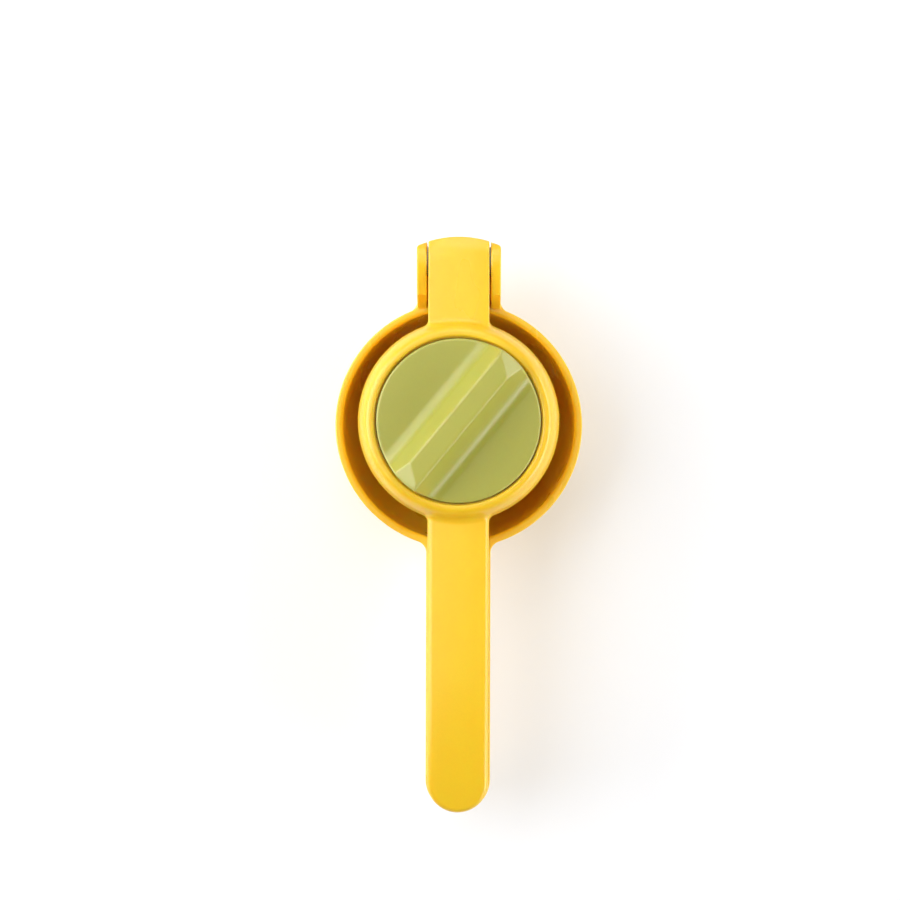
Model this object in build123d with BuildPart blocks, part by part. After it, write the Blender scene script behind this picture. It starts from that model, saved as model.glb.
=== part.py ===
from build123d import *

import os
from math import acos, asin, atan2, cos, degrees, hypot, radians, sin, sqrt, tan

# A lever citrus juicer that lies on its bowl. Lengths are millimetres, angles are degrees.
# The origin is on the bowl's axis in the plane of its flat foot. The hinge is at +Y,
# the two handles lie one over the other at -Y, and +Z is up.

# Bowl of the lower arm: an ellipsoid shell cut flat at its foot
bowl_radius = 47.1
bowl_depth = 36.0
bowl_wall = 3.0
foot_radius = 21.0
rim_inner_round = 1.4
rim_outer_round = 0.5

# Strainer slots in the foot, in two rings
slot_width = 2.4
inner_slots = 6
inner_slot_start = 4.2
outer_slots = 12
slot_length = 6.6
slot_bridge = 2.0

# Plan of the two arms
pin_setback = 14.9
press_lead = 1.5
handle_reach = 146.9
handle_width = 23.2
tongue_width = 23.0
lower_handle_margin = 0.7

# Handles: channels that face each other, with low ribs across them
lower_handle_depth = 14.0
upper_handle_depth = 15.6
handle_gap = 0.4
handle_wall = 2.4
handle_top_round = 2.1
arm_crown_radius = 80.0
handle_droop_length = 52.0
handle_droop_radius = 220.0
handle_foot_round = 3.0
channel_start_gap = 6.0
channel_corner_round = 3.0
rib_thickness = 1.6
rib_height = 4.5
rib_count = 5

# Hinge: two ears on the bowl, a knuckle on the tongue and a floor that stops it
pin_radius = 2.0
pin_end_recess = 0.4
pin_chamfer = 0.4
press_clearance = 0.02
running_clearance = 0.08
knuckle_radius = 9.0
tongue_thickness = 9.6
tongue_droop_radius = 18.0
tongue_edge_round = 0.5
tongue_corner_round = 0.6
core_wall = 3.0
core_roof = 2.6
end_crown_radius = 38.7
ear_thickness = 3.8
ear_radius = 8.2
ear_corner_round = 1.6
ear_edge_round = 0.6
ear_brow_drop = 3.2
heel_radius = 7.0
heel_drop = 15.0
heel_setback = 1.0
ear_root_round = 2.0
ear_root_drop = 16.0
ear_front_gap = 2.0
flare_radius = 4.5
lug_sink = 0.1
stop_floor_thickness = 3.0
stop_clearance = 0.2
open_angle = 110.0
washer_radius = 5.5
washer_thickness = 0.5
washer_gap = 0.05

# Press housing of the upper arm: a domed ring with a ledge that carries the turning press
ring_side_gap = 5.85
ring_face_width = 6.65
ring_wall = 3.0
ring_height = 25.0
ring_rise = 5.0
shoulder_height = 15.0
crest_width = 1.6
opening_round = 0.9
lip_depth = 1.7
lip_gap = 0.3
ring_foot_round = 0.8
ledge_width = 4.6
ledge_thickness = 3.0
arm_blend = 3.0

# Turning knob above the ledge
knob_gap = 0.7
knob_thickness = 5.9
knob_edge_round = 0.5
knob_skin = 2.6
seat_clearance = 0.1
fin_angle = 50.5
fin_top_width = 7.9
fin_height = 13.0
fin_slope = 24.9
fin_base_round = 5.8
fin_edge_round = 0.8
fin_wall = 2.4
fin_end_wall = 4.0
fin_cut_inset = 9.6
fin_cut_skew = 35.5
fin_cut_slope = 31.0

# Reamer below the ledge, with its thrust ring and seal
hub_clearance = 0.3
hub_wall = 3.2
thrust_ring_thickness = 1.2
thrust_gap = 0.05
thrust_ring_width = 6.0
flange_clearance = 1.2
flange_thickness = 2.4
seal_section = 1.5
seal_groove_width = 2.0
seal_groove_depth = 1.3
reamer_gap = 4.25
reamer_tip_radius = 7.4
reamer_tip_gap = 5.0
reamer_curve = 62.0
reamer_skin = 2.4
cavity_foot_width = 1.15
flute_count = 10
flute_radius = 8.0
flute_depth = 3.0
flute_runout = 7.5

# Screw that ties the reamer to the knob, with its socket, washer and plug
hex_across_flats = 11.0
hex_clearance = 0.1
socket_wall = 2.6
socket_depth = 6.0
screw_web = 3.0
screw_web_depth = 13.0
screw_radius = 1.5
screw_hole_clearance = 0.4
screw_head_radius = 3.1
screw_head_height = 2.2
screw_head_round = 0.8
screw_bite = 10.0
screw_point = 1.2
cross_width = 0.9
cross_depth = 1.3
flat_washer_radius = 3.9
flat_washer_thickness = 0.7
pocket_clearance = 0.3
plug_length = 7.0
plug_clearance = 0.05
plug_dome = 1.4

# Allowance by which cutting shapes overrun the faces they cut
overrun = 5.0

# How near an edge lies to a face, and the points along it that are looked at
pick_tolerance = 0.02
edge_shares = (0, 0.5, 1)

# Sides of the hexagon drive, and the quarter turn that starts an arc straight down
hexagon_sides = 6
quarter_turn = 90.0

# Heights above the foot
rim_z = bowl_depth
arm_bottom_z = rim_z + handle_gap
arm_top_z = arm_bottom_z + upper_handle_depth
pin_z = arm_top_z - knuckle_radius
ring_top_z = arm_top_z + ring_rise
lip_z = ring_top_z - lip_depth
ring_bottom_z = ring_top_z - ring_height
shoulder_z = ring_top_z - shoulder_height
knob_bottom_z = ring_top_z - knob_thickness
ledge_top_z = knob_bottom_z - seat_clearance
ledge_bottom_z = ledge_top_z - ledge_thickness
thrust_ring_z = ledge_bottom_z - thrust_gap - thrust_ring_thickness
flange_top_z = thrust_ring_z - thrust_gap
flange_bottom_z = flange_top_z - flange_thickness
reamer_tip_z = bowl_wall + reamer_tip_gap
screw_seat_z = knob_bottom_z - screw_web_depth
socket_floor_z = screw_seat_z + screw_web
socket_top_z = socket_floor_z + socket_depth
fin_top_z = ring_top_z + fin_height
knob_roof_z = ring_top_z - knob_skin

# Radii and widths that follow from the sizes above
bowl_semi_height = bowl_depth / sqrt(1 - (foot_radius / bowl_radius) ** 2)
lower_handle_width = handle_width + 2 * lower_handle_margin
lower_handle_reach = handle_reach + lower_handle_margin
ear_inner_x = tongue_width / 2 + washer_thickness + 2 * washer_gap
ear_outer_x = ear_inner_x + ear_thickness
pin_reach = bowl_radius + pin_setback
tongue_end_y = pin_reach + knuckle_radius
ring_radius = bowl_radius - bowl_wall - ring_side_gap
ring_bore = ring_radius - ring_wall
opening_radius = ring_radius - ring_face_width
crest_radius = opening_radius + crest_width
ledge_radius = opening_radius - ledge_width
knob_radius = opening_radius - knob_gap
lip_radius = knob_radius + lip_gap
fin_cut_reach = knob_radius - fin_cut_inset
hub_radius = ledge_radius - hub_clearance
hub_bore = hub_radius - hub_wall
flange_radius = ring_bore - flange_clearance
reamer_radius = ring_bore - reamer_gap
tube_radius = hex_across_flats / sqrt(3) + socket_wall
pocket_radius = flat_washer_radius + pocket_clearance

# Frames of the turning press, whose axis lies nearer the hinge than the bowl's axis
press_plane = Plane(origin=(0, press_lead, 0))
press_section = Plane.XZ.offset(-press_lead)
press_axis = Axis((0, press_lead, 0), (0, 0, 1))


def bowl_section(inset, rise=0):
    """Half section of the bowl's round form, taken in by inset and carried above the rim by rise."""
    radius = bowl_radius - inset
    height = bowl_semi_height - inset
    floor_angle = asin((bowl_depth - inset) / height)
    arc_turn = degrees(floor_angle)
    top_z = rim_z + rise
    corners = [(radius * cos(floor_angle), inset), (0, inset), (0, top_z), (radius, top_z)]
    if rise:
        corners.append((radius, rim_z))
    with BuildSketch(Plane.XZ) as section:
        with BuildLine():
            EllipticalCenterArc((0, rim_z), radius, height, -arc_turn, arc_size=arc_turn)
            Polyline(*corners)
        make_face()
    return section.sketch


def handle_plan(width, reach, start, height, start_round=0):
    """Plan of a handle at a height: straight sides from start to a full round end at reach."""
    end_centre = reach - width / 2
    with BuildSketch(Plane.XY.offset(height)) as plan:
        with Locations((0, -(start + end_centre) / 2)):
            Rectangle(width, end_centre - start)
        with Locations((0, -end_centre)):
            Circle(width / 2)
        if start_round:
            fillet(plan.vertices().group_by(Axis.Y)[-1], start_round)
    return plan.sketch


def handle_ribs(width, reach, start, height):
    """Plan of the cross ribs in a handle's channel, let into its side walls."""
    pitch = (reach - start) / (rib_count + 1)
    with BuildSketch(Plane.XY.offset(height)) as plan:
        with Locations((0, -(start + reach) / 2)):
            with GridLocations(0, pitch, 1, rib_count):
                Rectangle(width - handle_wall, rib_thickness)
    return plan.sketch


def crosswise_hole(radius):
    """Round hole along the hinge axis, as a sketch in the plane of the arms."""
    with BuildSketch(Plane.YZ) as hole:
        with Locations((pin_reach, pin_z)):
            Circle(radius)
    return hole.sketch


def rim_edge(radius, height):
    """Choice of the round edges of this radius at this height, whatever their axis."""

    def chosen(edge):
        return (
            edge.geom_type == GeomType.CIRCLE
            and abs(edge.radius - radius) < pick_tolerance
            and abs(edge.center().Z - height) < pick_tolerance
        )

    return chosen


def ear_top(edge):
    """Whether an edge runs over the top of an ear, on its inner or its outer face."""
    points = [edge @ share for share in edge_shares]
    faces = (ear_inner_x, ear_outer_x)
    on_face = any(all(abs(abs(point.X) - face) < pick_tolerance for point in points) for face in faces)
    lengthwise = abs(points[0].Y - points[-1].Y) > ear_thickness
    return on_face and lengthwise and points[1].Z > rim_z + ear_root_round


def housing_root(edge):
    """Whether an edge lies where the handle or the tongue meets the outside of the press housing."""
    points = [edge @ share for share in edge_shares]
    radii = [hypot(point.X, point.Y - press_lead) for point in points]
    on_housing = min(radii) > crest_radius and max(radii) < ring_radius + pick_tolerance
    on_arm = all(abs(point.X) < handle_width / 2 + pick_tolerance for point in points)
    above_foot = all(ring_bottom_z < point.Z < arm_top_z + pick_tolerance for point in points)
    under_tongue = points[1].Y > 0 and points[1].Z < arm_top_z - tongue_thickness + pick_tolerance
    return on_housing and on_arm and above_foot and not under_tongue


def knob_brim(edge):
    """Whether an edge runs round the knob's outside, over the disc and the ends of the fin."""
    points = [edge @ share for share in edge_shares]
    radii = [hypot(point.X, point.Y - press_lead) for point in points]
    on_brim = all(abs(radius - knob_radius) < pick_tolerance for radius in radii)
    return on_brim and all(point.Z > ring_top_z - pick_tolerance for point in points)


def washer_ring(outer_radius, inner_radius, height):
    """Flat ring about the press axis at a height."""
    with BuildSketch(press_plane.offset(height)) as ring:
        Circle(outer_radius)
        Circle(inner_radius, mode=Mode.SUBTRACT)
    return ring.sketch


def beyond_hinge_end(half_width, corner_round):
    """Plan of what lies beyond the crowned hinge end of a piece of this half width."""
    crown_centre = tongue_end_y - end_crown_radius
    corner_y = crown_centre + sqrt(end_crown_radius ** 2 - half_width ** 2)
    left_corner = (-half_width, corner_y)
    right_corner = (half_width, corner_y)
    with BuildSketch() as plan:
        with BuildLine():
            Polyline(left_corner, (-half_width, 0), (half_width, 0), right_corner)
            ThreePointArc(right_corner, (0, tongue_end_y), left_corner)
        make_face()
        fillet(plan.vertices().group_by(Axis.Y)[-1], corner_round)
    with BuildSketch() as beyond:
        with Locations((0, tongue_end_y + overrun)):
            Rectangle(2 * (half_width + overrun), 2 * (tongue_end_y + overrun - pin_reach))
        add(plan.sketch, mode=Mode.SUBTRACT)
    return beyond.sketch


def stop_drop():
    """Depth of the stop floor below the pin, just clear of the tongue's end at the open angle."""
    end_rise = knuckle_radius - tongue_droop_radius + sqrt(tongue_droop_radius ** 2 - knuckle_radius ** 2)
    end_turn = radians(open_angle) - atan2(end_rise, knuckle_radius)
    return hypot(knuckle_radius, end_rise) * sin(end_turn) + stop_clearance


def droop_point(radius, turn):
    """Run and fall from the start of a level line's downward bend to this turn along it."""
    return radius * sin(turn), radius * (1 - cos(turn))


def above_arm(depth):
    """Solid over the arm's crowned top, or over a surface at this depth below it."""
    top_z = arm_top_z - depth
    tongue_turn = (knuckle_radius + overrun) / tongue_droop_radius
    handle_turn = (handle_droop_length + overrun) / handle_droop_radius
    ends = []
    for radius, turn in ((tongue_droop_radius, tongue_turn), (handle_droop_radius, handle_turn)):
        ends.append([droop_point(radius - depth, turn * share) for share in edge_shares])
    tongue_points = [(pin_reach + run, top_z - fall) for run, fall in reversed(ends[0])]
    handle_points = [(handle_droop_length - handle_reach - run, top_z - fall) for run, fall in ends[1]]
    with BuildPart() as above:
        with BuildLine(Plane.YZ) as spine:
            ThreePointArc(*tongue_points)
            Line(tongue_points[-1], handle_points[0])
            ThreePointArc(*handle_points)
        path = spine.wire()
        with BuildSketch(Plane(origin=path @ 0, x_dir=(1, 0, 0), z_dir=path % 0)):
            Rectangle(2 * cross_span, 2 * upper_handle_depth)
            with Locations((0, -arm_crown_radius)):
                Circle(arm_crown_radius, mode=Mode.SUBTRACT)
        sweep(path=path)
    return above.part


def outline(faces):
    """Edges round a run of faces, without the seams between them."""
    edges = faces.edges()
    return [edge for edge in edges if sum(edge.is_same(other) for other in edges) == 1]


os.makedirs("parts", exist_ok=True)

# Hinge lugs: two ears with flared roots, let a little into the bowl's outside
ear_front_y = bowl_radius + ear_front_gap
ear_brow_z = pin_z + ear_radius - ear_brow_drop
cross_span = ear_outer_x + flare_radius + overrun
with BuildPart() as hinge_lugs:
    revolve(bowl_section(lug_sink), axis=Axis.Z)
    with BuildSketch() as ear_plates:
        for side in (-1, 1):
            with Locations((side * (ear_inner_x + ear_outer_x) / 2, tongue_end_y / 2)):
                Rectangle(ear_thickness, tongue_end_y)
    extrude(amount=rim_z)
    root_edges = hinge_lugs.edges().filter_by(GeomType.BSPLINE)
    outer_roots = root_edges.filter_by(lambda edge: abs(edge.center().X) > ear_outer_x - pick_tolerance)
    fillet(outer_roots, flare_radius)
    rim_edges = hinge_lugs.faces().sort_by(Axis.Z)[-1].edges().filter_by(GeomType.LINE, reverse=True)
    fillet(rim_edges.filter_by(lambda edge: abs(edge.center().X) > ear_outer_x), rim_outer_round)
    extrude(ear_plates.sketch, amount=ring_top_z)
    with BuildSketch(Plane.YZ) as ear_side:
        with Locations((pin_reach, pin_z)):
            Circle(ear_radius)
        with Locations((pin_reach - heel_setback, pin_z - heel_drop)):
            Circle(heel_radius)
        with Locations(((ear_front_y + pin_reach) / 2, (rim_z + ear_brow_z) / 2)):
            Rectangle(pin_reach - ear_front_y, ear_brow_z - rim_z)
        with Locations((ear_front_y, rim_z - ear_root_round)):
            Circle(ear_root_round)
        with Locations((bowl_radius - heel_radius, rim_z - ear_root_drop)):
            Circle(ear_root_round)
        make_hull()
        with Locations((ear_front_y / 2, rim_z - ear_root_drop / 2)):
            Rectangle(ear_front_y, ear_root_drop)
    extrude(amount=cross_span, both=True, mode=Mode.INTERSECT)
    end_waste = beyond_hinge_end(ear_outer_x, ear_corner_round)
    extrude(end_waste, amount=ring_top_z, mode=Mode.SUBTRACT)
    fillet(hinge_lugs.edges().filter_by(ear_top), ear_edge_round)
    with BuildSketch() as between_ears:
        Rectangle(2 * ear_inner_x, 2 * tongue_end_y)
    extrude(amount=ring_top_z, mode=Mode.SUBTRACT)

# Lower arm: bowl with strainer, channel handle, hinge ears and their stop floor
floor_top_z = pin_z - stop_drop()
floor_end_y = pin_reach + heel_radius - heel_setback
lower_channel_start = bowl_radius + channel_start_gap
lower_bottom_z = rim_z - lower_handle_depth
lower_floor_z = lower_bottom_z + handle_wall
outer_slot_start = inner_slot_start + slot_length + slot_bridge
with BuildPart() as lower_arm:
    lower_handle = handle_plan(lower_handle_width, lower_handle_reach, 0, lower_bottom_z)
    extrude(lower_handle, amount=lower_handle_depth)
    fillet(lower_arm.edges().group_by(Axis.Z)[0], handle_foot_round)
    revolve(bowl_section(0), axis=Axis.Z)
    root_edges = lower_arm.edges().filter_by(GeomType.BSPLINE)
    fillet(root_edges.filter_by_position(Axis.Y, -bowl_radius, -foot_radius), flare_radius)
    fillet(lower_arm.faces().sort_by(Axis.Z)[-1].edges(), rim_outer_round)
    add(hinge_lugs.part)
    with BuildSketch(Plane.XY.offset(floor_top_z)) as stop_floor:
        with Locations((0, floor_end_y / 2)):
            Rectangle(2 * ear_inner_x, floor_end_y)
    extrude(amount=-stop_floor_thickness)
    revolve(bowl_section(bowl_wall, overrun), axis=Axis.Z, mode=Mode.SUBTRACT)
    fillet(lower_arm.edges().filter_by(rim_edge(bowl_radius - bowl_wall, rim_z)), rim_inner_round)
    channel_width = lower_handle_width - 2 * handle_wall
    channel_reach = lower_handle_reach - handle_wall
    channel = handle_plan(
        channel_width, channel_reach, lower_channel_start, lower_floor_z, channel_corner_round
    )
    extrude(channel, amount=lower_handle_depth, mode=Mode.SUBTRACT)
    ribs = handle_ribs(lower_handle_width, lower_handle_reach, lower_channel_start, lower_floor_z)
    extrude(ribs, amount=rib_height)
    with BuildSketch() as strainer:
        with PolarLocations(inner_slot_start + slot_length / 2, inner_slots):
            SlotOverall(slot_length, slot_width)
        with PolarLocations(outer_slot_start + slot_length / 2, outer_slots):
            SlotOverall(slot_length, slot_width)
    extrude(amount=bowl_wall, mode=Mode.SUBTRACT)
    pin_hole = crosswise_hole(pin_radius + press_clearance)
    extrude(pin_hole, amount=cross_span, both=True, mode=Mode.SUBTRACT)
lower_arm.part.label = "lower_arm"
export_step(lower_arm.part, "parts/lower_arm.step")

# Upper arm: channel handle, domed press housing and hinge tongue in one moulding
housing_front = ring_radius - press_lead
housing_back = ring_radius + press_lead
upper_channel_start = housing_front + channel_start_gap
tongue_middle_y = (ledge_radius + pin_reach) / 2
arm_crown = above_arm(0)
channel_roof = above_arm(handle_wall)
with BuildPart() as upper_channel:
    channel_width = handle_width - 2 * handle_wall
    channel_reach = handle_reach - handle_wall
    channel = handle_plan(
        channel_width, channel_reach, upper_channel_start, arm_bottom_z, channel_corner_round
    )
    extrude(channel, amount=upper_handle_depth)
    add(channel_roof, mode=Mode.SUBTRACT)
    rib_foot_z = arm_top_z - handle_wall - rib_height
    ribs = handle_ribs(handle_width, handle_reach, upper_channel_start, rib_foot_z)
    extrude(ribs, amount=upper_handle_depth, mode=Mode.SUBTRACT)
with BuildPart() as upper_arm:
    with BuildSketch(Plane.YZ) as tongue_side:
        with Locations((pin_reach, pin_z)):
            Circle(knuckle_radius)
        with Locations((tongue_middle_y, arm_top_z - tongue_thickness / 2)):
            Rectangle(pin_reach - ledge_radius, tongue_thickness)
        with Locations(((ledge_radius + tongue_end_y) / 2, arm_top_z - knuckle_radius / 2)):
            Rectangle(tongue_end_y - ledge_radius, knuckle_radius)
    extrude(amount=tongue_width / 2, both=True)
    upper_handle = handle_plan(handle_width, handle_reach, ledge_radius, arm_bottom_z)
    extrude(upper_handle, amount=upper_handle_depth)
    add(arm_crown, mode=Mode.SUBTRACT)
    end_waste = beyond_hinge_end(tongue_width / 2, tongue_corner_round)
    extrude(end_waste, amount=ring_top_z, mode=Mode.SUBTRACT)
    tongue_top = upper_arm.faces().filter_by_position(Axis.Y, 0, tongue_end_y).sort_by(Axis.Z)[-2:]
    fillet(outline(tongue_top), tongue_edge_round)
    handle_top = upper_arm.faces().filter_by_position(Axis.Y, -handle_reach, 0).sort_by(Axis.Z)[-2:]
    fillet(outline(handle_top), handle_top_round)
    with BuildSketch(press_section) as dome:
        with BuildLine():
            EllipticalCenterArc((crest_radius, shoulder_z), ring_radius - crest_radius, shoulder_height)
            Polyline(
                (crest_radius, ring_top_z), (0, ring_top_z), (0, ring_bottom_z),
                (ring_radius, ring_bottom_z), (ring_radius, shoulder_z),
            )
        make_face()
    revolve(axis=press_axis)
    fillet(upper_arm.edges().filter_by(housing_root), arm_blend)
    with BuildSketch(press_section) as bore:
        with BuildLine():
            Polyline(
                (0, ring_bottom_z - overrun), (ring_bore, ring_bottom_z - overrun),
                (ring_bore, ledge_bottom_z), (ledge_radius, ledge_bottom_z), (ledge_radius, ledge_top_z),
                (lip_radius, ledge_top_z), (lip_radius, lip_z), (opening_radius, lip_z),
                (opening_radius, ring_top_z + overrun), (0, ring_top_z + overrun), close=True,
            )
        make_face()
    revolve(axis=press_axis, mode=Mode.SUBTRACT)
    fillet(upper_arm.edges().filter_by(rim_edge(opening_radius, ring_top_z)), opening_round)
    for edge_radius in (ring_bore, ring_radius):
        fillet(upper_arm.edges().filter_by(rim_edge(edge_radius, ring_bottom_z)), ring_foot_round)
    add(upper_channel.part, mode=Mode.SUBTRACT)
    core_start = housing_back + core_wall
    core_end = pin_reach - knuckle_radius
    with BuildSketch(Plane.XY.offset(arm_top_z - core_roof)) as tongue_core:
        with Locations((0, (core_start + core_end) / 2)):
            Rectangle(tongue_width - 2 * core_wall, core_end - core_start)
    extrude(amount=-tongue_thickness, mode=Mode.SUBTRACT)
    knuckle_hole = crosswise_hole(pin_radius + running_clearance)
    extrude(knuckle_hole, amount=cross_span, both=True, mode=Mode.SUBTRACT)
upper_arm.part.label = "upper_arm"
export_step(upper_arm.part, "parts/upper_arm.step")

# Turning knob: a disc with a bar-shaped fin across it, hollow from below, with a hexagon boss
fin_way = (cos(radians(fin_angle)), sin(radians(fin_angle)), 0)
fin_across = (-sin(radians(fin_angle)), cos(radians(fin_angle)), 0)
fin_section = Plane(origin=(0, press_lead, 0), x_dir=fin_across, z_dir=fin_way)
fin_run = tan(radians(fin_slope))
fin_base_half = fin_top_width / 2 + fin_height * fin_run
fin_inner_inset = fin_wall / cos(radians(fin_slope))
boss_radius = hex_across_flats / 2
boss_corner = hex_across_flats / sqrt(3)
boss_top_z = fin_top_z - (boss_corner + fin_wall / 2 - fin_top_width / 2) / fin_run
blank_half = knob_radius + overrun
cut_drop = (blank_half - fin_cut_reach) * tan(radians(fin_cut_slope))
hollow_top_z = fin_top_z - fin_wall
hollow_top_half = fin_top_width / 2 + fin_wall * fin_run - fin_inner_inset
hollow_foot_half = fin_base_half + knob_skin * fin_run - fin_inner_inset
with BuildPart() as turn_knob:
    with BuildSketch(fin_section) as knob_side:
        with BuildLine():
            Polyline(
                (-blank_half, knob_bottom_z), (blank_half, knob_bottom_z), (blank_half, ring_top_z),
                (fin_base_half, ring_top_z), (fin_top_width / 2, fin_top_z),
                (-fin_top_width / 2, fin_top_z), (-fin_base_half, ring_top_z),
                (-blank_half, ring_top_z), close=True,
            )
        make_face()
        fillet(knob_side.vertices().group_by(Axis.Y)[-1], fin_edge_round)
        for foot in (-fin_base_half, fin_base_half):
            fillet(knob_side.vertices().sort_by_distance((foot, ring_top_z))[0], fin_base_round)
    extrude(amount=blank_half, both=True)
    for half_turn in (0, 180):
        turn = radians(fin_angle - fin_cut_skew + half_turn)
        cut_way = (cos(turn), sin(turn), 0)
        cut_across = (sin(turn), -cos(turn), 0)
        cut_plane = Plane(origin=(0, press_lead, 0), x_dir=cut_way, z_dir=cut_across)
        with BuildSketch(cut_plane) as end_cut:
            with BuildLine():
                Polyline(
                    (fin_cut_reach, fin_top_z), (blank_half, fin_top_z - cut_drop),
                    (blank_half, fin_top_z), close=True,
                )
            make_face()
        extrude(amount=blank_half, both=True, mode=Mode.SUBTRACT)
    with BuildSketch(press_plane.offset(knob_bottom_z)) as knob_plan:
        Circle(knob_radius)
    extrude(amount=knob_thickness + fin_height, mode=Mode.INTERSECT)
    fillet(turn_knob.edges().filter_by(knob_brim), knob_edge_round)
    with BuildSketch(press_plane.offset(knob_bottom_z)) as knob_hollow:
        Circle(hub_bore)
    extrude(amount=knob_thickness - knob_skin, mode=Mode.SUBTRACT)
    with BuildSketch(fin_section) as fin_hollow:
        with BuildLine():
            Polyline(
                (-hollow_foot_half, knob_roof_z), (hollow_foot_half, knob_roof_z),
                (hollow_top_half, hollow_top_z), (-hollow_top_half, hollow_top_z), close=True,
            )
        make_face()
    extrude(amount=hub_bore - fin_end_wall, both=True, mode=Mode.SUBTRACT)
    with BuildSketch(press_plane.offset(socket_floor_z + seat_clearance)) as boss:
        RegularPolygon(boss_radius, hexagon_sides, major_radius=False, rotation=fin_angle)
    extrude(amount=boss_top_z - socket_floor_z - seat_clearance)
    with BuildSketch(press_plane.offset(socket_floor_z)) as pilot:
        Circle(screw_radius + press_clearance)
    extrude(amount=screw_bite + screw_point, mode=Mode.SUBTRACT)
turn_knob.part.label = "turn_knob"
export_step(turn_knob.part, "parts/turn_knob.step")

# Curve of the reamer's cone, and of its flutes and its cavity
cone_chord = hypot(reamer_radius - reamer_tip_radius, flange_bottom_z - reamer_tip_z)
cone_tilt = atan2(flange_bottom_z - reamer_tip_z, reamer_radius - reamer_tip_radius)
cone_sink = sqrt(reamer_curve ** 2 - (cone_chord / 2) ** 2)
cone_centre_x = (reamer_radius + reamer_tip_radius) / 2 - cone_sink * sin(cone_tilt)
cone_centre_z = (flange_bottom_z + reamer_tip_z) / 2 + cone_sink * cos(cone_tilt)
cone_half_turn = degrees(asin(cone_chord / 2 / reamer_curve))
cone_centre = (cone_centre_x, cone_centre_z)
cone_start = degrees(cone_tilt) - quarter_turn - cone_half_turn
flute_path_radius = reamer_curve + flute_radius - flute_depth
flute_turn = 2 * cone_half_turn - degrees(flute_runout / reamer_curve)
flute_lead = degrees(flute_radius / reamer_curve)
cavity_curve = reamer_curve - flute_depth - reamer_skin
cavity_foot = acos((tube_radius + cavity_foot_width - cone_centre_x) / cavity_curve)
cavity_head = asin((cone_centre_z - flange_top_z) / cavity_curve)
cavity_floor_z = cone_centre_z - cavity_curve * sin(cavity_foot)
cavity_turn = degrees(cavity_foot - cavity_head)
seal_middle_z = (ledge_top_z + ledge_bottom_z) / 2
groove_radius = hub_radius - seal_groove_depth

# One flute of the reamer, cut again and again round the cone
with BuildPart() as flute:
    with BuildLine(Plane.XZ) as flute_path:
        CenterArc(cone_centre, flute_path_radius, cone_start - flute_lead, flute_turn + flute_lead)
    with BuildSketch(flute_path.line ^ 0) as flute_section:
        Circle(flute_radius)
    sweep()
    with Locations(flute_path.line @ 1):
        Sphere(flute_radius)

# Reamer: hub through the ledge, flange under it and a fluted cone in the bowl
with BuildPart(press_plane) as press_head:
    with BuildSketch(press_section) as head_side:
        with BuildLine():
            cone = CenterArc(cone_centre, reamer_curve, cone_start, 2 * cone_half_turn)
            Polyline(
                cone @ 1, (flange_radius, flange_bottom_z), (flange_radius, flange_top_z),
                (hub_radius, flange_top_z), (hub_radius, knob_bottom_z), (0, knob_bottom_z),
                (0, reamer_tip_z), cone @ 0,
            )
        make_face()
    revolve(axis=press_axis)
    for flute_index in range(flute_count):
        with PolarLocations(0, 1, start_angle=flute_index * 360 / flute_count):
            add(flute.part, mode=Mode.SUBTRACT)
    with BuildSketch(press_section) as head_cavity:
        with BuildLine():
            cavity = CenterArc(cone_centre, cavity_curve, -degrees(cavity_foot), cavity_turn)
            Polyline(
                cavity @ 1, (hub_bore, flange_top_z), (hub_bore, knob_bottom_z),
                (tube_radius, knob_bottom_z), (tube_radius, cavity_floor_z), cavity @ 0,
            )
        make_face()
    revolve(axis=press_axis, mode=Mode.SUBTRACT)
    with BuildSketch(press_plane.offset(socket_top_z)) as tube_trim:
        Circle(tube_radius)
    extrude(amount=knob_bottom_z - socket_top_z, mode=Mode.SUBTRACT)
    with BuildSketch(press_plane.offset(socket_floor_z)) as socket:
        RegularPolygon(boss_radius + hex_clearance, hexagon_sides, major_radius=False, rotation=fin_angle)
    extrude(amount=socket_depth, mode=Mode.SUBTRACT)
    with BuildSketch(press_plane.offset(screw_seat_z)) as screw_hole:
        Circle(screw_radius + screw_hole_clearance)
    extrude(amount=screw_web, mode=Mode.SUBTRACT)
    with BuildSketch(press_plane.offset(reamer_tip_z)) as pocket:
        Circle(pocket_radius)
    extrude(amount=screw_seat_z - reamer_tip_z, mode=Mode.SUBTRACT)
    groove = washer_ring(hub_radius + overrun, groove_radius, seal_middle_z - seal_groove_width / 2)
    extrude(groove, amount=seal_groove_width, mode=Mode.SUBTRACT)
press_head.part.label = "press_head"
export_step(press_head.part, "parts/press_head.step")

# Thrust ring between the ledge and the reamer's flange
with BuildPart() as thrust_ring:
    thrust_face = washer_ring(ledge_radius + thrust_ring_width, ledge_radius, thrust_ring_z)
    extrude(thrust_face, amount=thrust_ring_thickness)
thrust_ring.part.label = "thrust_ring"
export_step(thrust_ring.part, "parts/thrust_ring.step")

# Seal ring in the hub's groove, level with the middle of the ledge
seal_reach = groove_radius + seal_section / 2 + press_clearance
with BuildPart() as seal_ring:
    with BuildSketch(press_section) as seal_side:
        with Locations((seal_reach, seal_middle_z)):
            Circle(seal_section / 2)
    revolve(axis=press_axis)
seal_ring.part.label = "seal_ring"
export_step(seal_ring.part, "parts/seal_ring.step")

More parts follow.
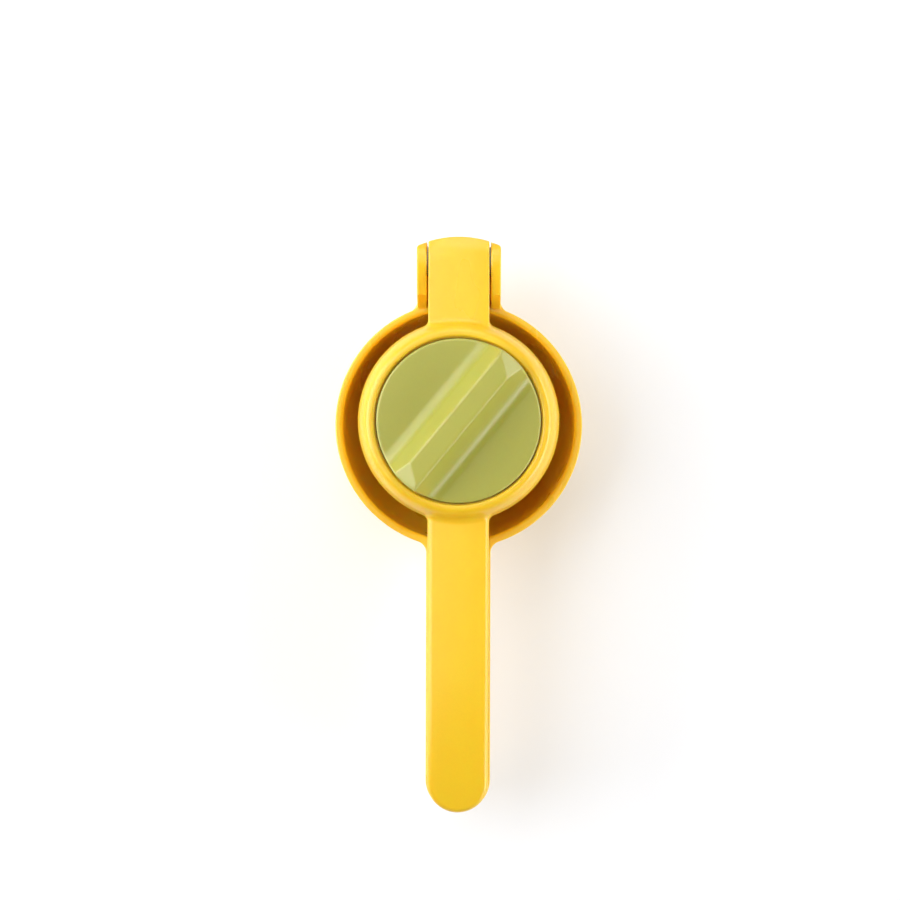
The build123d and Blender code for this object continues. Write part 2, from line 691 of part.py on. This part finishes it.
# Clamp screw: pan head below, pointed shank up into the knob's boss
washer_bottom_z = screw_seat_z - flat_washer_thickness
head_bottom_z = washer_bottom_z - screw_head_height
shank_end_z = socket_floor_z + screw_bite
with BuildPart() as clamp_screw:
    with BuildSketch(press_section) as screw_side:
        with BuildLine():
            Polyline(
                (0, head_bottom_z), (screw_head_radius - screw_head_round, head_bottom_z),
                (screw_head_radius, head_bottom_z + screw_head_round),
                (screw_head_radius, washer_bottom_z), (screw_radius, washer_bottom_z),
                (screw_radius, shank_end_z - screw_point), (0, shank_end_z), close=True,
            )
        make_face()
    revolve(axis=press_axis)
    with BuildSketch(press_plane.offset(head_bottom_z)) as cross_recess:
        Rectangle(2 * screw_radius, cross_width)
        Rectangle(cross_width, 2 * screw_radius)
    extrude(amount=cross_depth, mode=Mode.SUBTRACT)
clamp_screw.part.label = "clamp_screw"
export_step(clamp_screw.part, "parts/clamp_screw.step")

# Flat washer under the screw's head
with BuildPart() as screw_washer:
    washer_face = washer_ring(flat_washer_radius, screw_radius + screw_hole_clearance, washer_bottom_z)
    extrude(washer_face, amount=flat_washer_thickness)
screw_washer.part.label = "screw_washer"
export_step(screw_washer.part, "parts/screw_washer.step")

# Plug that closes the screw's pocket and makes the reamer's domed tip
plug_radius = pocket_radius - plug_clearance
with BuildPart() as screw_plug:
    with BuildSketch(press_section) as plug_side:
        with BuildLine():
            EllipticalCenterArc((0, reamer_tip_z), plug_radius, plug_dome, -quarter_turn)
            Polyline(
                (plug_radius, reamer_tip_z), (plug_radius, reamer_tip_z + plug_length),
                (0, reamer_tip_z + plug_length), (0, reamer_tip_z - plug_dome),
            )
        make_face()
    revolve(axis=press_axis)
screw_plug.part.label = "screw_plug"
export_step(screw_plug.part, "parts/screw_plug.step")

# Hinge pin through both ears and the tongue's knuckle
with BuildPart() as hinge_pin:
    extrude(crosswise_hole(pin_radius), amount=ear_outer_x - pin_end_recess, both=True)
    chamfer(hinge_pin.edges().filter_by(GeomType.CIRCLE), pin_chamfer)
hinge_pin.part.label = "hinge_pin"
export_step(hinge_pin.part, "parts/hinge_pin.step")

# Thin washers on the pin, one in each gap between an ear and the tongue
for side, side_name in ((-1, "left"), (1, "right")):
    washer_start = side * (tongue_width / 2 + washer_gap)
    with BuildPart() as hinge_washer:
        with BuildSketch(Plane.YZ.offset(washer_start)) as washer_side:
            with Locations((pin_reach, pin_z)):
                Circle(washer_radius)
                Circle(pin_radius + running_clearance, mode=Mode.SUBTRACT)
        extrude(amount=side * washer_thickness)
    hinge_washer.part.label = "hinge_washer_" + side_name
    export_step(hinge_washer.part, "parts/hinge_washer_" + side_name + ".step")
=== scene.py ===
"""Looks of a hand-held lever citrus juicer, dressed on its CAD frame.

The tool is two moulded yellow arms on a steel hinge pin. The upper arm's domed ring carries a
green knob, which turns a fluted reamer inside the lower arm's strainer bowl.
"""

import logging
import math
from dataclasses import dataclass, replace
from enum import Enum

import bmesh
import bpy
from mathutils import Matrix, Vector


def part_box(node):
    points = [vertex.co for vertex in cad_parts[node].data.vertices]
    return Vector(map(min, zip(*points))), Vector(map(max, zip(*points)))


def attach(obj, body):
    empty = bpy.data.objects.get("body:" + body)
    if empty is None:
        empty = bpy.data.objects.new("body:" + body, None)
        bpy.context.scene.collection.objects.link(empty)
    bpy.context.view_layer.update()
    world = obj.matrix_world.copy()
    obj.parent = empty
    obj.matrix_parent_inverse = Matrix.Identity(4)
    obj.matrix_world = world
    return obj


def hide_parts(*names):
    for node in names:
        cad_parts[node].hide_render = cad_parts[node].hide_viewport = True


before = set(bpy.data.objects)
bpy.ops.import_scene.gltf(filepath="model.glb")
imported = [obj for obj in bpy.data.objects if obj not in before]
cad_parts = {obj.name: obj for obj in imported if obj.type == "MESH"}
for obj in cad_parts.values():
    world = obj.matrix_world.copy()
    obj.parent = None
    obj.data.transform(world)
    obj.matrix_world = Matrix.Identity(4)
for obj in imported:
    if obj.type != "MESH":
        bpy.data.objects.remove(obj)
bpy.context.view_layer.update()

MM = 0.001
WELD = 0.001 * MM
SHARP_ANGLE = math.radians(35)
NOISE_SPAN = {"From_Min": 0.3, "From_Max": 0.7}

log = logging.getLogger("juicer")


class Body(Enum):
    """CAD bodies of the tool."""

    BOWL_LEVER = "bowl_lever"
    PRESS_LEVER = "press_lever"
    PRESS_ROTOR = "press_rotor"


class Slot(Enum):
    """Material slots of the record."""

    YELLOW = "yellow_plastic"
    GREEN = "green_plastic"
    ACETAL = "acetal"
    SILICONE = "silicone"
    STEEL = "stainless_steel"


def linear(hex_colour: str) -> tuple[float, float, float, float]:
    """Turn an sRGB hex colour into linear RGBA.

    Args:
        hex_colour: Six hex digits, such as "FFD54A".

    Returns:
        Linear red, green and blue, and an alpha of one.
    """
    channels = [int(hex_colour[i : i + 2], 16) / 255 for i in (0, 2, 4)]
    curve = [c / 12.92 if c <= 0.04045 else ((c + 0.055) / 1.055) ** 2.4 for c in channels]
    return (*curve, 1.0)


def add_node(tree: bpy.types.NodeTree, kind: str, settings: dict | None = None, **inputs) -> bpy.types.Node:
    """Add a node, set its properties and fill its inputs.

    Args:
        tree: The node tree to add to.
        kind: The node's type, such as "ShaderNodeBump".
        settings: Properties of the node itself.
        **inputs: Values or output sockets, keyed by the input's name with _ for a space, or by
            its number as i0, i1 and so on.

    Returns:
        The new node.
    """
    node = tree.nodes.new(kind)
    for key, value in (settings or {}).items():
        setattr(node, key, value)
    for key, value in inputs.items():
        numbered = key[0] == "i" and key[1:].isdigit()
        socket = node.inputs[int(key[1:])] if numbered else node.inputs[key.replace("_", " ")]
        if isinstance(value, bpy.types.NodeSocket):
            tree.links.new(value, socket)
        else:
            socket.default_value = value
    return node


def new_material(name: str) -> tuple[bpy.types.Material, bpy.types.NodeTree, bpy.types.Node]:
    """Make an empty node material.

    Args:
        name: The material's name.

    Returns:
        The material, its node tree and its output node.
    """
    material = bpy.data.materials.new(name)
    material.use_nodes = True
    material.node_tree.nodes.clear()
    return material, material.node_tree, material.node_tree.nodes.new("ShaderNodeOutputMaterial")


def per_size(size_mm: float) -> float:
    """Noise scale, in cycles per metre, for grains of a size in millimetres."""
    return 1 / (size_mm * MM)


@dataclass(frozen=True)
class SeamRing:
    """Fine parting line round the press housing, where two halves of its mould met; its darker colour is
    painted shade in the fine groove.
    """

    height: float = 50.8 * MM
    half_width: float = 0.3 * MM
    clear_half: float = 12.9 * MM
    depth: float = 0.06 * MM
    # Painted shade in the groove, darker than the skin round it.
    colour: str = "DDAA26"


@dataclass(frozen=True)
class MouldedPlastic:
    """Injection-moulded polypropylene: a smooth skin with soft flow marks, and a painted highlight that makes
    its edges paler.

    The skin has a faint orange peel, and light goes a little way into it, so thin walls glow.
    """

    name: str
    colour: str
    flow_colour: str
    # The pale edge colour is a painted highlight, mixed in along sharp edges where they would catch the
    # light.
    edge_highlight_colour: str
    roughness: float = 0.3
    roughness_swing: float = 0.04
    flow_mm: float = 26.0
    flow_stretch: tuple[float, float, float] = (1.0, 0.3, 1.0)
    speckle_mm: float = 0.7
    speckle_shade: float = 0.975
    peel_mm: float = 1.6
    peel_depth: float = 0.006 * MM
    edge_round: float = 0.35 * MM
    edge_match: float = 0.85
    # Share of the painted edge highlight right on a sharp edge.
    edge_highlight_strength: float = 0.5
    ior: float = 1.6
    glow: float = 0.5
    glow_depth: float = 4.0 * MM
    glow_spread: tuple[float, float, float] = (1.0, 0.5, 0.15)
    seam: SeamRing | None = None

    def build(self) -> bpy.types.Material:
        """Make the material.

        Returns:
            The finished material.
        """
        material, tree, output = new_material(self.name)
        place = add_node(tree, "ShaderNodeTexCoord").outputs["Object"]
        along = add_node(tree, "ShaderNodeMapping", Vector=place, Scale=self.flow_stretch).outputs[0]
        flow = add_node(tree, "ShaderNodeTexNoise", Vector=along, Scale=per_size(self.flow_mm), Detail=3.0)
        speckle = add_node(tree, "ShaderNodeTexNoise", Vector=place, Scale=per_size(self.speckle_mm))
        peel = add_node(tree, "ShaderNodeTexNoise", Vector=place, Scale=per_size(self.peel_mm), Detail=1.0)
        soft = add_node(tree, "ShaderNodeBevel", {"samples": 8}, Radius=self.edge_round).outputs[0]
        edge_highlight = self._painted_edge_highlight(tree, soft)
        flow_share = add_node(tree, "ShaderNodeMapRange", Value=flow.outputs[0], **NOISE_SPAN)
        body = add_node(
            tree, "ShaderNodeMix", {"data_type": "RGBA"},
            i0=flow_share.outputs[0], i6=linear(self.colour), i7=linear(self.flow_colour),
        ).outputs[2]
        grey = add_node(
            tree, "ShaderNodeMapRange", Value=speckle.outputs[0], To_Min=self.speckle_shade, To_Max=1.0,
            **NOISE_SPAN,
        ).outputs[0]
        skin = add_node(
            tree, "ShaderNodeMix", {"data_type": "RGBA", "blend_type": "MULTIPLY"}, i0=1.0, i6=body, i7=grey,
        ).outputs[2]
        # Paint the highlight along sharp edges by mixing towards the pale edge colour.
        skin = add_node(
            tree, "ShaderNodeMix", {"data_type": "RGBA"}, i0=edge_highlight, i6=skin, i7=linear(self.edge_highlight_colour),
        ).outputs[2]
        rough = add_node(
            tree, "ShaderNodeMapRange", Value=flow.outputs[0], To_Min=self.roughness - self.roughness_swing,
            To_Max=self.roughness + self.roughness_swing, **NOISE_SPAN,
        ).outputs[0]
        normal = add_node(
            tree, "ShaderNodeBump", Height=peel.outputs[0], Distance=self.peel_depth, Normal=soft,
        ).outputs[0]
        if self.seam:
            skin, normal = self._draw_seam(tree, place, skin, normal)
        shader = add_node(
            tree, "ShaderNodeBsdfPrincipled", Base_Color=skin, Roughness=rough, Normal=normal, IOR=self.ior,
            Subsurface_Weight=self.glow, Subsurface_Radius=self.glow_spread, Subsurface_Scale=self.glow_depth,
        )
        tree.links.new(shader.outputs[0], output.inputs[0])
        return material

    def _painted_edge_highlight(self, tree: bpy.types.NodeTree, soft: bpy.types.NodeSocket) -> bpy.types.NodeSocket:
        """Find how near a point lies to a sharp edge, where the painted highlight goes.

        Args:
            tree: The node tree to add to.
            soft: The normal that runs smoothly round the edges.

        Returns:
            A share from zero on a flat face to the full painted highlight on an edge.
        """
        flat = add_node(tree, "ShaderNodeNewGeometry").outputs["Normal"]
        match = add_node(tree, "ShaderNodeVectorMath", {"operation": "DOT_PRODUCT"}, i0=soft, i1=flat)
        share = add_node(
            tree, "ShaderNodeMapRange", Value=match.outputs["Value"], From_Min=1.0, From_Max=self.edge_match,
            To_Max=self.edge_highlight_strength,
        )
        return share.outputs[0]

    def _draw_seam(
        self, tree: bpy.types.NodeTree, place: bpy.types.NodeSocket, skin: bpy.types.NodeSocket,
        normal: bpy.types.NodeSocket,
    ) -> tuple[bpy.types.NodeSocket, bpy.types.NodeSocket]:
        """Draw the parting line as a fine groove at its height, clear of the handle and tongue, darkened with
        painted shade.

        Args:
            tree: The node tree to add to.
            place: Object coordinates.
            skin: The colour so far.
            normal: The normal so far.

        Returns:
            The colour and the normal with the line in them.
        """
        seam = self.seam
        axes = add_node(tree, "ShaderNodeSeparateXYZ", Vector=place)
        rise = add_node(tree, "ShaderNodeMath", {"operation": "SUBTRACT"}, i0=axes.outputs[2], i1=seam.height)
        away = add_node(tree, "ShaderNodeMath", {"operation": "ABSOLUTE"}, i0=rise.outputs[0])
        line = add_node(
            tree, "ShaderNodeMapRange", Value=away.outputs[0],
            From_Min=seam.half_width, From_Max=seam.half_width / 2,
        )
        side = add_node(tree, "ShaderNodeMath", {"operation": "ABSOLUTE"}, i0=axes.outputs[0])
        clear = add_node(
            tree, "ShaderNodeMath", {"operation": "GREATER_THAN"}, i0=side.outputs[0], i1=seam.clear_half,
        )
        # The same mask cuts the groove's bump and lays its painted shade.
        groove_and_shade_mask = add_node(
            tree, "ShaderNodeMath", {"operation": "MULTIPLY"}, i0=line.outputs[0], i1=clear.outputs[0],
        ).outputs[0]
        # Darken the groove with painted shade.
        skin = add_node(
            tree, "ShaderNodeMix", {"data_type": "RGBA"}, i0=groove_and_shade_mask, i6=skin, i7=linear(seam.colour),
        ).outputs[2]
        normal = add_node(
            tree, "ShaderNodeBump", {"invert": True}, Height=groove_and_shade_mask, Distance=seam.depth, Normal=normal,
        ).outputs[0]
        return skin, normal


@dataclass(frozen=True)
class TurnedSteel:
    """Stainless steel bar, turned and polished: fine rings across its length catch the light."""

    name: str
    lengthwise: tuple[float, float, float]
    colour: str = "C9C8C4"
    roughness: float = 0.24
    smoothest: float = 0.7
    roughest: float = 1.4
    ring_mm: float = 0.5
    ring_depth: float = 0.003 * MM

    def build(self) -> bpy.types.Material:
        """Make the material, with its tool marks drawn coarse enough to show.

        Returns:
            The finished material.
        """
        material, tree, output = new_material(self.name)
        place = add_node(tree, "ShaderNodeTexCoord").outputs["Object"]
        along = add_node(tree, "ShaderNodeMapping", Vector=place, Scale=self.lengthwise).outputs[0]
        rings = add_node(tree, "ShaderNodeTexNoise", Vector=along, Scale=per_size(self.ring_mm), Detail=2.0)
        rough = add_node(
            tree, "ShaderNodeMapRange", Value=rings.outputs[0],
            To_Min=self.roughness * self.smoothest, To_Max=self.roughness * self.roughest,
        )
        normal = add_node(tree, "ShaderNodeBump", Height=rings.outputs[0], Distance=self.ring_depth)
        shader = add_node(
            tree, "ShaderNodeBsdfPrincipled", Base_Color=linear(self.colour), Metallic=1.0,
            Roughness=rough.outputs[0], Normal=normal.outputs[0],
        )
        tree.links.new(shader.outputs[0], output.inputs[0])
        return material


@dataclass(frozen=True)
class PlainPolymer:
    """Unpigmented acetal or silicone: milky, with light going well into it."""

    name: str
    colour: str
    shade_colour: str
    roughness: float
    glow: float
    glow_depth: float = 1.0 * MM
    grain_mm: float = 0.9
    grain_depth: float = 0.004 * MM

    def build(self) -> bpy.types.Material:
        """Make the material.

        Returns:
            The finished material.
        """
        material, tree, output = new_material(self.name)
        place = add_node(tree, "ShaderNodeTexCoord").outputs["Object"]
        grain = add_node(tree, "ShaderNodeTexNoise", Vector=place, Scale=per_size(self.grain_mm), Detail=2.0)
        skin = add_node(
            tree, "ShaderNodeMix", {"data_type": "RGBA"},
            i0=grain.outputs[0], i6=linear(self.colour), i7=linear(self.shade_colour),
        )
        normal = add_node(tree, "ShaderNodeBump", Height=grain.outputs[0], Distance=self.grain_depth)
        shader = add_node(
            tree, "ShaderNodeBsdfPrincipled", Base_Color=skin.outputs[2], Roughness=self.roughness,
            Normal=normal.outputs[0], Subsurface_Weight=self.glow, Subsurface_Scale=self.glow_depth,
        )
        tree.links.new(shader.outputs[0], output.inputs[0])
        return material


def spin_mesh(name: str, side: list[tuple[float, float]], centre: Vector, steps: int) -> bpy.types.Mesh:
    """Turn a half section about an upright axis.

    Args:
        name: The mesh's name.
        side: Radius and height of each corner, from the axis round to the axis.
        centre: A point on the axis.
        steps: Faces round the full turn.

    Returns:
        The closed mesh.
    """
    shape = bmesh.new()
    corners = [shape.verts.new((centre.x + radius, centre.y, height)) for radius, height in side]
    edges = [shape.edges.new(pair) for pair in zip(corners, corners[1:])]
    bmesh.ops.spin(
        shape, geom=corners + edges, cent=centre, axis=(0, 0, 1), angle=math.tau, steps=steps,
        use_merge=True,
    )
    bmesh.ops.remove_doubles(shape, verts=shape.verts, dist=WELD)
    bmesh.ops.recalc_face_normals(shape, faces=shape.faces)
    mesh = bpy.data.meshes.new(name)
    shape.to_mesh(mesh)
    shape.free()
    return mesh


@dataclass
class ClampScrew:
    """Self-tapping screw with a pan head below and its cut thread up in the knob's boss."""

    steel: bpy.types.Material
    head_radius: float = 3.1 * MM
    head_height: float = 2.2 * MM
    head_round: float = 0.8 * MM
    head_steps: int = 6
    crest_radius: float = 1.48 * MM
    root_radius: float = 1.12 * MM
    neck: float = 1.4 * MM
    point: float = 1.2 * MM
    pitch: float = 1.2 * MM
    ridge_share: float = 0.6
    recess_width: float = 0.9 * MM
    recess_depth: float = 1.3 * MM
    steps: int = 64

    def build(self) -> None:
        """Make the screw in place of the plain CAD one."""
        low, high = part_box("clamp_screw")
        centre = (low + high) / 2
        centre.z = low.z
        screw = bpy.data.objects.new("threaded_clamp_screw", self._blank(centre, high.z))
        bpy.context.scene.collection.objects.link(screw)
        self._cut_recess(screw, centre)
        self._wind_thread(screw, centre, high.z)
        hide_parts("clamp_screw")
        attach(screw, Body.PRESS_ROTOR.value)
        log.info("made %s with %d faces", screw.name, len(screw.data.polygons))

    def _blank(self, centre: Vector, end: float) -> bpy.types.Mesh:
        """Turn the head, neck, core and point.

        Args:
            centre: The middle of the head's underside.
            end: Height of the point.

        Returns:
            The screw before its recess and thread.
        """
        seat = centre.z + self.head_height
        quarter = [math.pi / 2 * step / self.head_steps for step in range(self.head_steps + 1)]
        flat = self.head_radius - self.head_round
        rim = [
            (flat + self.head_round * math.sin(turn), centre.z + self.head_round * (1 - math.cos(turn)))
            for turn in quarter
        ]
        side = [(0, centre.z), *rim, (self.head_radius, seat), (self.crest_radius, seat)]
        side += [(self.crest_radius, seat + self.neck), (self.root_radius, seat + self.neck + self.point / 2)]
        side += [(self.root_radius, end - self.point), (0, end)]
        return spin_mesh("threaded_clamp_screw", side, centre, self.steps)

    def _cut_recess(self, screw: bpy.types.Object, centre: Vector) -> None:
        """Cut the cross recess into the head.

        Args:
            screw: The turned screw.
            centre: The middle of the head's underside.
        """
        shape = bmesh.new()
        arm = 2 * self.crest_radius
        for across, along in ((self.recess_width, arm), (arm, self.recess_width)):
            size = Matrix.Diagonal((across, along, 2 * self.recess_depth, 1))
            bmesh.ops.create_cube(shape, size=1, matrix=Matrix.Translation(centre) @ size)
        mesh = bpy.data.meshes.new("recess_cutter")
        shape.to_mesh(mesh)
        shape.free()
        cutter = bpy.data.objects.new("recess_cutter", mesh)
        bpy.context.scene.collection.objects.link(cutter)
        cut = screw.modifiers.new("recess", "BOOLEAN")
        cut.object, cut.operation, cut.solver, cut.use_self = cutter, "DIFFERENCE", "EXACT", True
        set_mesh(screw, self.steel)
        bpy.data.objects.remove(cutter)

    def _wind_thread(self, screw: bpy.types.Object, centre: Vector, end: float) -> None:
        """Wind the thread round the core with Geometry Nodes.

        Args:
            screw: The screw with its recess.
            centre: The middle of the head's underside.
            end: Height of the point.
        """
        start = centre.z + self.head_height + self.neck + self.point
        length = end - self.point - start
        tree = bpy.data.node_groups.new("screw_thread", "GeometryNodeTree")
        face = tree.interface
        face.new_socket("Core", in_out="INPUT", socket_type="NodeSocketGeometry")
        sizes = {
            "Foot": (centre.x, centre.y, start), "Length": length, "Turns": length / self.pitch,
            "Root Radius": self.root_radius, "Ridge": self.crest_radius - self.root_radius,
            "Pitch": self.pitch, "Ridge Share": self.ridge_share, "Steel": self.steel,
        }
        kinds = {"Foot": "NodeSocketVector", "Steel": "NodeSocketMaterial"}
        names = {
            name: face.new_socket(
                name, in_out="INPUT", socket_type=kinds.get(name, "NodeSocketFloat"),
            ).identifier
            for name in sizes
        }
        face.new_socket("Screw", in_out="OUTPUT", socket_type="NodeSocketGeometry")
        given = tree.nodes.new("NodeGroupInput").outputs
        path = add_node(
            tree, "GeometryNodeCurveSpiral", Resolution=self.steps // 2, Rotations=given["Turns"],
            Start_Radius=given["Root Radius"], End_Radius=given["Root Radius"], Height=given["Length"],
        )
        raised = add_node(tree, "GeometryNodeSetCurveNormal", {"mode": "Z_UP"}, Curve=path.outputs[0])
        placed = add_node(
            tree, "GeometryNodeTransform", Geometry=raised.outputs[0], Translation=given["Foot"],
        )
        width = add_node(
            tree, "ShaderNodeMath", {"operation": "MULTIPLY"}, i0=given["Ridge Share"], i1=given["Pitch"],
        )
        ridge = add_node(
            tree, "GeometryNodeCurvePrimitiveQuadrilateral", {"mode": "KITE"},
            Width=width.outputs[0], Bottom_Height=given["Ridge"], Top_Height=given["Ridge"],
        )
        thread = add_node(
            tree, "GeometryNodeCurveToMesh", Curve=placed.outputs[0], Profile_Curve=ridge.outputs[0],
            Fill_Caps=True,
        )
        joined = tree.nodes.new("GeometryNodeJoinGeometry")
        tree.links.new(given["Core"], joined.inputs[0])
        tree.links.new(thread.outputs[0], joined.inputs[0])
        whole = add_node(tree, "GeometryNodeRealizeInstances", Geometry=joined.outputs[0])
        dressed = add_node(
            tree, "GeometryNodeSetMaterial", Geometry=whole.outputs[0], Material=given["Steel"],
        )
        tree.links.new(dressed.outputs[0], tree.nodes.new("NodeGroupOutput").inputs[0])
        winding = screw.modifiers.new("thread", "NODES")
        winding.node_group = tree
        for name, value in sizes.items():
            winding[names[name]] = value
        set_mesh(screw, self.steel)


def set_mesh(piece: bpy.types.Object, material: bpy.types.Material) -> None:
    """Turn a piece's modifiers into its plain mesh, all of one material.

    Args:
        piece: The object with modifiers.
        material: The material for all its faces.
    """
    seen = piece.evaluated_get(bpy.context.evaluated_depsgraph_get())
    mesh = bpy.data.meshes.new_from_object(seen)
    mesh.materials.clear()
    mesh.materials.append(material)
    mesh.shade_smooth()
    mesh.set_sharp_from_angle(angle=SHARP_ANGLE)
    piece.modifiers.clear()
    piece.data = mesh


def dress(node: str, slot: Slot, material: bpy.types.Material) -> None:
    """Give a CAD node its finish.

    Args:
        node: The node's name.
        slot: The record's slot for the node.
        material: The material for all its faces.
    """
    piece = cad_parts[node]
    piece.material_slots[0].link = "OBJECT"
    piece.material_slots[0].material = material
    log.info("dressed %s, slot %s, in %s", node, slot.value, material.name)


@dataclass(frozen=True)
class Softbox:
    """Softbox that faces the tool: its place, width and height in metres, and its power in watts."""

    name: str
    place: tuple[float, float, float]
    width: float
    height: float
    power: float

    def hang(self, target: Vector) -> None:
        """Hang the softbox in the scene.

        Args:
            target: The point that it faces.
        """
        data = bpy.data.lights.new(self.name, "AREA")
        data.shape = "RECTANGLE"
        data.size, data.size_y = self.width, self.height
        data.energy = self.power
        lamp = bpy.data.objects.new(self.name, data)
        lamp.location = self.place
        lamp.rotation_euler = (target - lamp.location).to_track_quat("-Z", "Y").to_euler()
        bpy.context.scene.collection.objects.link(lamp)


@dataclass(frozen=True)
class Studio:
    """White table under soft light from all round, seen from straight above."""

    target: tuple[float, float, float] = (-3.12 * MM, -9.49 * MM, 57.0 * MM)
    distance: float = 1143.0 * MM
    turn: tuple[float, float, float] = (math.radians(-0.13), math.radians(0.47), math.radians(0.16))
    lens: float = 122.0
    clip_start: float = 0.05
    clip_end: float = 20.0
    floor_half: float = 3.0
    floor_colour: str = "E6E7EA"
    floor_lift: float = 0.17
    floor_near: float = 0.35
    floor_far: float = 1.0
    sky: float = 0.03
    softboxes: tuple[Softbox, ...] = (
        Softbox("softbox_left_high", (-0.55, 0.12, 0.82), 1.0, 0.5, 5.0),
        Softbox("softbox_left_low", (-0.9, 0.16, 0.42), 1.1, 0.5, 8.3),
        Softbox("softbox_right", (0.92, -0.04, 0.42), 1.3, 0.5, 8.8),
        Softbox("softbox_above", (-0.1, 0.36, 1.75), 1.0, 1.0, 3.3),
        Softbox("softbox_back", (0.0, 0.76, 0.66), 0.6, 0.6, 2.6),
        Softbox("softbox_front_right", (0.68, -0.56, 0.3), 0.5, 0.5, 1.8),
    )

    def build(self) -> None:
        """Set the camera, the table and the light."""
        self._set_camera()
        self._lay_floor()
        self._light()
        bpy.context.scene.view_settings.view_transform = "Standard"
        log.info("studio ready")

    def _set_camera(self) -> None:
        """Look down on the press from straight above, as nearly as a hand-set camera does."""
        data = bpy.data.cameras.new("camera")
        data.lens = self.lens
        data.clip_start, data.clip_end = self.clip_start, self.clip_end
        camera = bpy.data.objects.new("camera", data)
        camera.rotation_euler = self.turn
        back = camera.rotation_euler.to_matrix() @ Vector((0, 0, self.distance))
        camera.location = Vector(self.target) + back
        bpy.context.scene.collection.objects.link(camera)
        bpy.context.scene.camera = camera

    def _lay_floor(self) -> None:
        """Lay a pale table under the foot, which reads as white and keeps the tool's shadow."""
        mesh = bpy.data.meshes.new("table")
        half = self.floor_half
        mesh.from_pydata(
            [(-half, -half, 0), (half, -half, 0), (half, half, 0), (-half, half, 0)], [], [(0, 1, 2, 3)],
        )
        material, tree, output = new_material("Matt_white_table")
        diffuse = add_node(tree, "ShaderNodeBsdfDiffuse", Color=linear(self.floor_colour))
        rays = add_node(tree, "ShaderNodeLightPath").outputs
        seen = rays["Is Camera Ray"]
        for ray in ("Is Glossy Ray", "Is Transmission Ray"):
            either = add_node(tree, "ShaderNodeMath", {"operation": "MAXIMUM"}, i0=seen, i1=rays[ray])
            seen = either.outputs[0]
        place = add_node(tree, "ShaderNodeTexCoord").outputs["Object"]
        reach = add_node(tree, "ShaderNodeVectorMath", {"operation": "LENGTH"}, i0=place).outputs["Value"]
        rise = add_node(
            tree, "ShaderNodeMapRange", Value=reach, From_Min=self.floor_near, From_Max=self.floor_far,
            To_Min=self.floor_lift, To_Max=1.0,
        )
        lift = add_node(tree, "ShaderNodeMath", {"operation": "MULTIPLY"}, i0=seen, i1=rise.outputs[0])
        lifted = add_node(tree, "ShaderNodeEmission", Strength=lift.outputs[0])
        both = add_node(tree, "ShaderNodeAddShader", i0=diffuse.outputs[0], i1=lifted.outputs[0])
        tree.links.new(both.outputs[0], output.inputs[0])
        mesh.materials.append(material)
        floor = bpy.data.objects.new("table", mesh)
        bpy.context.scene.collection.objects.link(floor)

    def _light(self) -> None:
        """Light the table with a faint even sky and a ring of softboxes."""
        world = bpy.data.worlds.new("soft_sky")
        world.use_nodes = True
        sky = world.node_tree.nodes["Background"].inputs
        sky["Color"].default_value = linear("FFFFFF")
        sky["Strength"].default_value = self.sky
        bpy.context.scene.world = world
        for softbox in self.softboxes:
            softbox.hang(Vector(self.target))


@dataclass
class BowlLever:
    """Lower arm with its strainer bowl, the hinge pin and its two washers."""

    plastic: bpy.types.Material
    steel: bpy.types.Material
    acetal: bpy.types.Material

    def build(self) -> None:
        """Dress the pieces that stay still."""
        dress("lower_arm", Slot.YELLOW, self.plastic)
        dress("hinge_pin", Slot.STEEL, self.steel)
        for side in ("left", "right"):
            dress(f"hinge_washer_{side}", Slot.ACETAL, self.acetal)
        log.info("finished body %s", Body.BOWL_LEVER.value)


@dataclass
class PressLever:
    """Upper arm with the domed ring that houses the press, and its thrust ring."""

    plastic: bpy.types.Material
    acetal: bpy.types.Material

    def build(self) -> None:
        """Dress the pieces that swing on the hinge."""
        dress("upper_arm", Slot.YELLOW, self.plastic)
        dress("thrust_ring", Slot.ACETAL, self.acetal)
        log.info("finished body %s", Body.PRESS_LEVER.value)


@dataclass
class PressRotor:
    """Knob, reamer and the fittings that turn with them."""

    plastic: bpy.types.Material
    steel: bpy.types.Material
    silicone: bpy.types.Material
    screw: ClampScrew

    def build(self) -> None:
        """Dress the pieces that turn in the ring."""
        for node in ("turn_knob", "press_head", "screw_plug"):
            dress(node, Slot.GREEN, self.plastic)
        dress("seal_ring", Slot.SILICONE, self.silicone)
        dress("screw_washer", Slot.STEEL, self.steel)
        self.screw.build()
        log.info("finished body %s", Body.PRESS_ROTOR.value)


def main() -> None:
    """Build the studio and dress the tool, one sub-assembly after another."""
    logging.basicConfig(level=logging.INFO, format="%(name)s: %(message)s")
    # The third colour of each plastic is the painted highlight along its sharp edges.
    yellow = MouldedPlastic("Moulded_yellow_polypropylene", "FBCC2C", "F9C725", "FFE680")
    housing = replace(yellow, name="Moulded_yellow_polypropylene_housing", seam=SeamRing())
    green = MouldedPlastic(
        "Moulded_green_polypropylene", "B3B14C", "AFAD48", "D6D592", edge_round=1.5 * MM,
    )
    pin_steel = TurnedSteel("Turned_stainless_steel_pin", (1.0, 0.02, 0.02)).build()
    screw_steel = TurnedSteel("Turned_stainless_steel_screw", (0.02, 0.02, 1.0)).build()
    acetal = PlainPolymer("Natural_acetal", "F0EEE6", "E6E3D8", 0.4, 0.3).build()
    silicone = PlainPolymer("Clear_silicone", "DAD8CF", "CFCDC3", 0.5, 0.5).build()
    Studio().build()
    BowlLever(yellow.build(), pin_steel, acetal).build()
    PressLever(housing.build(), acetal).build()
    PressRotor(green.build(), screw_steel, silicone, ClampScrew(screw_steel)).build()


if __name__ == "__main__":
    main()
